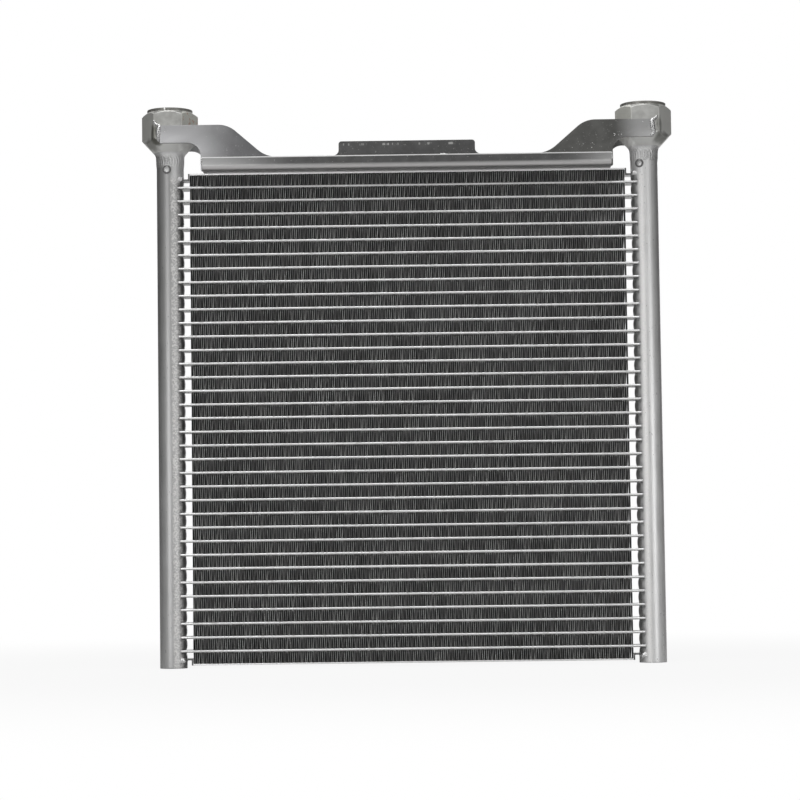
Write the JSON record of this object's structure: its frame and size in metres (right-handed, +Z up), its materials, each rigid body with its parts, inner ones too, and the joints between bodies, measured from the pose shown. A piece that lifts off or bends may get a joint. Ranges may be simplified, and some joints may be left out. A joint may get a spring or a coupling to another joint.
{
  "type": "hydraulic oil cooler",
  "caption": "Brazed aluminium oil cooler: flat tubes and folded fins between two round headers, hexagonal ports on top, and a folded support channel.",
  "frame": {"origin": "midway between the two headers' axes, in the plane of their lower ends", "axes": "+Z up towards the ports, +X from the left header to the right header seen from the front, and the front faces -Y"},
  "size_m": [0.3916, 0.046, 0.4108],
  "materials": {
    "header_tube": "satin, drawn tube after brazing",
    "machined_fitting": "satin, turned and milled",
    "bracket_sheet": "mill finish sheet",
    "core_sheet": "brazed sheet, satin",
    "tube_extrusion": "extruded, satin",
    "fin_foil": "folded foil, dull after brazing",
    "weld_bead": "bright rippled weld"
  },
  "bodies": {
    "root": {"left_header_pipe": "header_tube", "right_header_pipe": "header_tube", "left_end_cap": "header_tube", "right_end_cap": "header_tube", "left_port_fitting": "machined_fitting", "right_port_fitting": "machined_fitting", "left_neck_weld": "weld_bead", "right_neck_weld": "weld_bead", "left_test_plug": "header_tube", "right_test_plug": "header_tube", "top_side_plate": "core_sheet", "bottom_side_plate": "core_sheet", "support_channel": "bracket_sheet", "front_left_ear": "bracket_sheet", "front_right_ear": "bracket_sheet", "rear_left_ear": "bracket_sheet", "rear_right_ear": "bracket_sheet", "left_ear_welds": "weld_bead", "right_ear_welds": "weld_bead", "channel_end_welds": "weld_bead", "fin_strips_lower": "fin_foil", "fin_strips_middle": "fin_foil", "fin_strips_upper": "fin_foil", "flat_tube_01": "tube_extrusion", "flat_tube_02": "tube_extrusion", "flat_tube_03": "tube_extrusion", "flat_tube_04": "tube_extrusion", "flat_tube_05": "tube_extrusion", "flat_tube_06": "tube_extrusion", "flat_tube_07": "tube_extrusion", "flat_tube_08": "tube_extrusion", "flat_tube_09": "tube_extrusion", "flat_tube_10": "tube_extrusion", "flat_tube_11": "tube_extrusion", "flat_tube_12": "tube_extrusion", "flat_tube_13": "tube_extrusion", "flat_tube_14": "tube_extrusion", "flat_tube_15": "tube_extrusion", "flat_tube_16": "tube_extrusion", "flat_tube_17": "tube_extrusion", "flat_tube_18": "tube_extrusion", "flat_tube_19": "tube_extrusion", "flat_tube_20": "tube_extrusion", "flat_tube_21": "tube_extrusion", "flat_tube_22": "tube_extrusion", "flat_tube_23": "tube_extrusion", "flat_tube_24": "tube_extrusion", "flat_tube_25": "tube_extrusion", "flat_tube_26": "tube_extrusion", "flat_tube_27": "tube_extrusion", "flat_tube_28": "tube_extrusion", "flat_tube_29": "tube_extrusion", "flat_tube_30": "tube_extrusion", "flat_tube_31": "tube_extrusion", "flat_tube_32": "tube_extrusion", "flat_tube_33": "tube_extrusion", "flat_tube_34": "tube_extrusion", "flat_tube_35": "tube_extrusion"}
  },
  "joints": []
}
